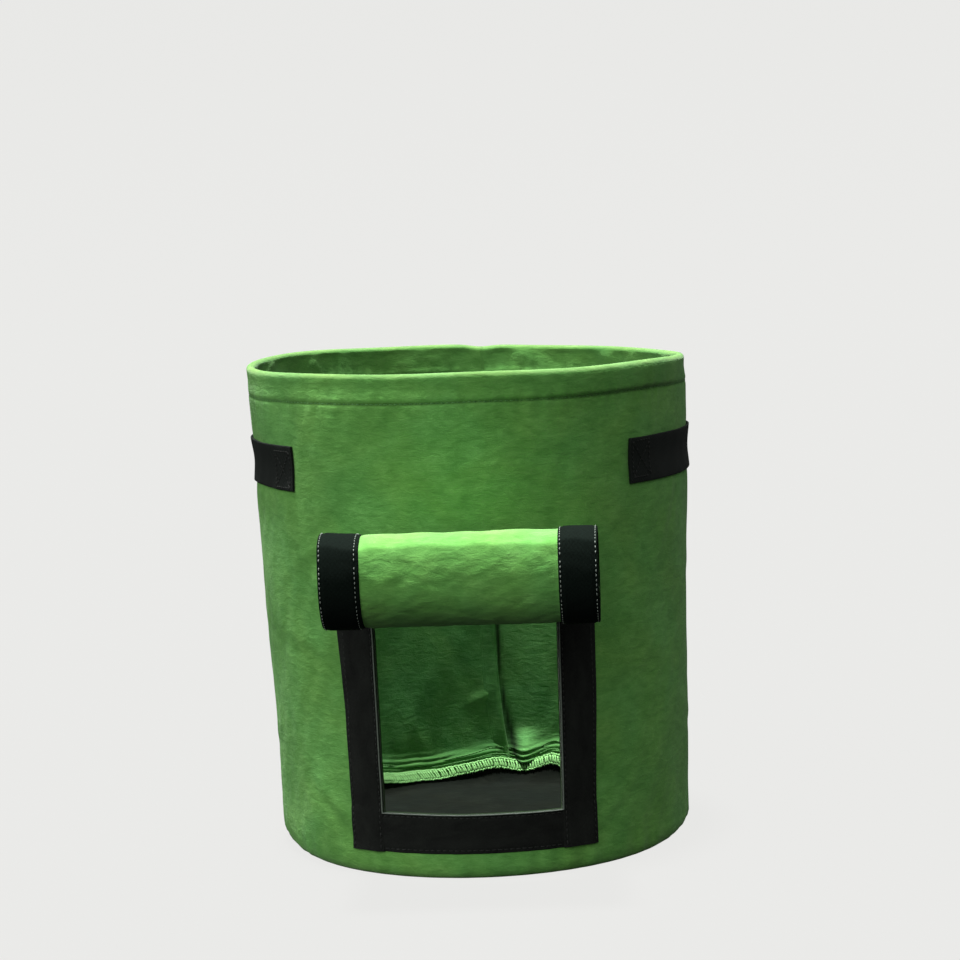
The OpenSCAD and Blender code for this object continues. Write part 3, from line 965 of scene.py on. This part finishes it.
MIDDLES = [FOLD_AT[0] - heading(HEADINGS[0]) * PANEL / 2]
MIDDLES += [at + heading(HEADINGS[k + 1]) * PANEL / 2 for k, at in enumerate(FOLD_AT)]
ARC_SHARE = (1, 1, 1, 1, 1, 0.95, 0.95, 1)      # of each fold's length that bends
CREASE_PANEL = 5.3                              # panels down the flap to the roll's crease
FLAP_RISE = 1.8 * MM                            # how far the roll is held above its bodies
FLAP_SHIFT = 2.0 * MM                           # and to the right of them
FLAP_TAPER = 0.022                              # share of its width that the roll has lost
TAPE_OUT = FLAP_HALF + TAPE_WRAP                # the flap's side tapes, from its middle
TAPE_IN = TAPE_OUT - (FRAME_A - WINDOW_A) * BASE_R
flap_lumps = ripple(51, 14, (0, 0), (40, 200))
flap_dents = ripple(52, 12, (0, 0), (60, 300))
flap_grain = ripple(53, 24, (0, 0), (300, 900))


def flap_crease(s, u):
    """The front of the roll is steep up to a crease near its top, where it turns over."""
    high, before, after = 6.5 * MM, 25 * MM, 24 * MM
    at = CREASE_PANEL * PANEL + 0.7 * MM * flap_dents(2, 0.7 * u)
    rise = np.clip(1 - (at - s) / before, 0, 1) ** 2
    fall = np.clip(1 - (s - at) / after, 0, 1)
    return high * np.minimum(rise, fall)


def flap_path(s):
    """The flap's near face in the YZ plane, and its angle, s metres down from its first middle.
    Each fold is an arc between two straight runs; a tight arc makes a visible corner."""
    step = np.clip((s / PANEL).astype(int), 0, len(TURNS) - 1)
    turn, start = np.array(TURNS)[step], HEADINGS[step]
    reach = PANEL / 2 * np.array(ARC_SHARE)[step]
    bend_r = reach / np.tan(turn / 2)
    run = PANEL / 2 - reach
    length = 2 * run + bend_r * turn
    done = np.minimum(s / PANEL - step, 1) * length
    angle = start + np.clip((done - run) / bend_r, 0, turn)
    first, last = np.minimum(done, run), np.maximum(done - run - bend_r * turn, 0)
    y = bend_r * (np.cos(angle) - np.cos(start))
    z = -bend_r * (np.sin(angle) - np.sin(start))
    at = np.array(MIDDLES)[step] + np.stack([y, z], -1)
    past = last + np.maximum(s - len(TURNS) * PANEL, 0)
    return at + first[..., None] * heading(start) + past[..., None] * heading(angle), angle


def flap_place(s, u, h):
    """A point of the flap: s down the cloth, u across it, h out of its near face."""
    s, u, h = np.broadcast_arrays(s, u, h)
    at, angle = flap_path(s)
    free = smooth(s / PANEL)
    lump = 0.12 * flap_lumps(0, s + 0.3 * u) + 0.10 * flap_dents(0, u - 0.7 * s)
    lump = lump + 0.05 * flap_grain(0, s + 0.25 * u) * (1 + 0.8 * flap_dents(1, u + s))
    lump = lump + 0.05 * flap_grain(1, 0.5 * u - s) * (1 - 0.8 * flap_dents(1, u + s))
    cloth_only = smooth((FLAP_HALF - 22 * MM - abs(u)) / (6 * MM))
    h = h + free * MM * (lump * (0.35 + 0.65 * cloth_only)
                         - 0.5 * bell(abs(u) - FLAP_HALF + 26 * MM, 3 * MM))
    h = h + flap_crease(s, u)
    sag = free * (0.5 * MM * (1 - (u / FLAP_HALF) ** 2) - FLAP_RISE)
    u = u * (1 - FLAP_TAPER * free) + free * FLAP_SHIFT
    straight = np.stack([u, at[..., 0] + np.cos(angle) * h,
                         at[..., 1] - np.sin(angle) * h - sag], -1)
    off = -at[..., 0] - np.cos(angle) * h - wall_r(at[..., 1])
    curved = wall_point(u / wall_r(STRIP_TOP), at[..., 1], off)
    free = free[..., None]
    return curved * (1 - free) + straight * free


def flap_normal(s):
    angle = flap_path(s)[1]
    return np.stack([0 * angle, np.cos(angle), -np.sin(angle)], -1)


def flap_stretches():
    """Each stretch of cloth from one panel's middle to the next: its number, where it starts and
    ends, and the two bodies it bends between."""
    last = len(FOLDS)
    for k, joint in enumerate(FOLDS):
        yield k + 1, k * PANEL, (k + 1) * PANEL, joint["parent"], joint["child"]
    yield last + 1, last * PANEL, (last + 0.5) * PANEL, f"flap_{last}", None


def hang(piece, parent, child):
    """Lets a piece of the flap ride on its panel; a piece between two panels is only baked where it
    lies.
    """
    if child is None:
        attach(piece, parent)
    else:
        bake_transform(piece)


def flap():
    """The flap: felt, side tapes and white stitching, in stretches that each bend at one fold."""
    for k, s0, s1, parent, child in flap_stretches():
        s = np.linspace(s0, s1, 25 if child else 13)
        node = min(k, len(FOLDS))
        pieces = [flap_cloth(k, s, node)]
        pieces += [flap_band(name, k, s, node, u0, u1) for name, u0, u1 in (
            ("left", -TAPE_OUT, -TAPE_IN + 1.5 * MM), ("right", TAPE_IN, TAPE_OUT))]
        if k >= len(FOLDS):
            cross = strip(f"flap_hook_bottom_{k}", s,
                          section(-TAPE_IN, TAPE_IN, FELT - 0.3 * MM, FELT + TAPE - 0.3 * MM, 40),
                          flap_place, HOOK)
            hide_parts("flap_hook_tape_bottom")
            pieces.append(cross)
        pieces.append(flap_threads(k, np.linspace(s0, s1, 60), node))
        for piece in pieces:
            hang(piece, parent, child)


def flap_cloth(k, s, node):
    """The felt of one stretch, with a painted highlight, paler where the roll's top faces the sky.
    """
    felt_half = FLAP_HALF - 0.4 * MM
    across = section(-felt_half, felt_half, 0, FELT, 84)
    # Painted highlight: paler over the roll's top.
    painted_light = smooth(s / PANEL - 5.2) * (1 - smooth(s / PANEL - 6.6))
    tone = np.ones((len(s), len(across[0]), 3))
    tone += painted_light[:, None, None] * (np.array(ROLL_HIGHLIGHT_TONE) - 1)
    cloth = strip(f"flap_felt_{k}", s, across, flap_place, GREEN, origin=(0.3, 0.7),
                  tone=tone.reshape(-1, 3))
    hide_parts(f"flap_panel_{node}")
    return cloth


def flap_band(name, k, s, node, u0, u1):
    """One stretch of a side tape, which just reaches round the felt's edge."""
    u, h = tape_outline(u0, u1)
    over_edge = smooth((abs(u) - FLAP_HALF + 0.5 * MM) / (0.4 * MM)) * (h < 0.1 * MM)
    band = strip(f"flap_hook_{name}_{k}", s, (u, h + FELT - over_edge * 2.6 * MM),
                 flap_place, HOOK)
    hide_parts(f"flap_hook_tapes_{node}")
    return band


def flap_threads(k, s, node):
    """One stretch of the white stitching along both edges of both side tapes."""
    lines = [(flap_place(s, side * edge, FELT + TAPE - 0.45 * MM), flap_normal(s))
             for edge in (TAPE_IN + 1.3 * MM, TAPE_OUT - 1.3 * MM) for side in (-1, 1)]
    threads = stitches(f"flap_stitches_{k}", lines, PALE_THREAD, None, PANEL / 8,
                       1.7 * MM, 0.26 * MM)
    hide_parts(f"flap_edge_threads_{node}")
    return threads


def flap_strip():
    """The flap's sewn top edge: it lies on the wall, comes out of it where the free flap starts,
    and is tucked in behind it."""
    low = MIDDLES[0][1]
    outer_low = -MIDDLES[0][0] - wall_r(low)
    tuck = 5 * MM

    def place(s, u, h):
        away = smooth((STRIP_TOP - s) / (STRIP_TOP - low)) * (1 - smooth((low - s) / tuck))
        off = h + (outer_low - FELT) * away + SEAT * (1 - away)
        return wall_point(u / wall_r(STRIP_TOP), s, off)

    s = np.linspace(STRIP_TOP, low - tuck, 16)
    piece = strip("flap_top_edge", s, section(-FLAP_HALF, FLAP_HALF, 0, FELT, 60), place, GREEN,
                  "root", origin=(0.3, 0.7))
    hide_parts("flap_strip")
    a = np.linspace(-FLAP_HALF + 2 * MM, FLAP_HALF - 2 * MM, 120) / wall_r(STRIP_TOP)
    lines = [(place(z, a * wall_r(STRIP_TOP), FELT + 0 * a), wall_normal(a, z + 0 * a))
             for z in (STRIP_TOP - 2.5 * MM, STRIP_TOP - 6.5 * MM)]
    line = stitches("flap_strip_stitches", lines, GREEN_THREAD, "root")
    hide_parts("flap_strip_stitching")


# ---------------------------------------------------------------- stage, light, camera
def stage():
    """A pale round floor that curves up on all sides. It takes shadows, but throws no light
    back on the bag, whose undersides are dark."""
    flat_r, bend, top = 5.0, 2.0, 4.0
    turn = np.linspace(0, math.pi / 2, 16)
    r = np.concatenate([[0.001, 1.0], flat_r + bend * np.sin(turn), [flat_r + bend]])
    z = np.concatenate([[0, 0], bend * (1 - np.cos(turn)), [top]])
    a = np.linspace(0, 2 * math.pi, 72, endpoint=False)
    rows = np.stack([r[:, None] * np.cos(a), r[:, None] * np.sin(a), z[:, None] + 0 * a], -1)
    mesh = bpy.data.meshes.new("floor")
    mesh.from_pydata(rows.reshape(-1, 3).tolist(), [], quads(len(r), len(a)))
    mesh.materials.append(stage_paint())
    mesh.shade_smooth()
    floor = bpy.data.objects.new("floor", mesh)
    floor.visible_diffuse = floor.visible_glossy = floor.visible_shadow = False
    bpy.context.collection.objects.link(floor)


def sun(name, direction, strength, softness):
    """A distant soft light that comes from a direction; softness is its width in degrees."""
    data = bpy.data.lights.new(name, "SUN")
    data.energy, data.angle = strength, math.radians(softness)
    light = bpy.data.objects.new(name, data)
    light.rotation_euler = Vector(direction).to_track_quat("Z", "Y").to_euler()
    bpy.context.collection.objects.link(light)


def lights():
    """A strong light from straight above, a soft key from the left, a faint fill from the front,
    and a dim room. The Standard view keeps the contrast that the default view softens."""
    bpy.context.scene.view_settings.view_transform = "Standard"
    sun("top", (-0.05, 0.0, 1.0), 12.3, 7)
    sun("key", (-0.84, -0.54, 0.55), 1.85, 45)
    sun("fill", (0.12, -0.74, 0.66), 0.62, 40)
    world = bpy.data.worlds.new("room")
    world.use_nodes = True
    nodes, links = world.node_tree.nodes, world.node_tree.links
    place = nodes.new("ShaderNodeTexCoord")
    parts = nodes.new("ShaderNodeSeparateXYZ")
    ramp = nodes.new("ShaderNodeMapRange")
    ramp.inputs["From Min"].default_value, ramp.inputs["From Max"].default_value = -0.05, 0.25
    ramp.inputs["To Min"].default_value, ramp.inputs["To Max"].default_value = 0.06, 0.50
    nodes["Background"].inputs["Color"].default_value = (1, 1, 1, 1)
    links.new(place.outputs["Generated"], parts.inputs[0])
    links.new(parts.outputs["Z"], ramp.inputs["Value"])
    links.new(ramp.outputs[0], nodes["Background"].inputs["Strength"])
    bpy.context.scene.world = world


def camera():
    """A long lens in front of the bag, a little right of its middle, looking slightly down."""
    turn, distance, height = math.radians(3.73), 1.810, 0.445
    heading_turn, pitch, roll = math.radians(-0.16), math.radians(6.31), math.radians(-2.30)
    data = bpy.data.cameras.new("camera")
    data.sensor_width = 36
    data.lens = 98.66
    data.clip_start, data.clip_end = 0.01, 50
    cam = bpy.data.objects.new("camera", data)
    a = turn + heading_turn
    forward = Vector((-math.sin(a) * math.cos(pitch), math.cos(a) * math.cos(pitch),
                      -math.sin(pitch)))
    right = forward.cross(Vector((0, 0, 1))).normalized()
    up = right.cross(forward)
    rolled_right = math.cos(roll) * right + math.sin(roll) * up
    rolled_up = -math.sin(roll) * right + math.cos(roll) * up
    cam.matrix_world = Matrix((
        (rolled_right.x, rolled_up.x, -forward.x, distance * math.sin(turn)),
        (rolled_right.y, rolled_up.y, -forward.y, -distance * math.cos(turn)),
        (rolled_right.z, rolled_up.z, -forward.z, height),
        (0, 0, 0, 1)))
    bpy.context.collection.objects.link(cam)
    bpy.context.scene.camera = cam


camera()
lights()
stage()
wall()
back_seam()
base()
base_seam()
overlock()
handle(-1, "left")
handle(1, "right")
window_tape()
window_edge()
flap_strip()
flap()
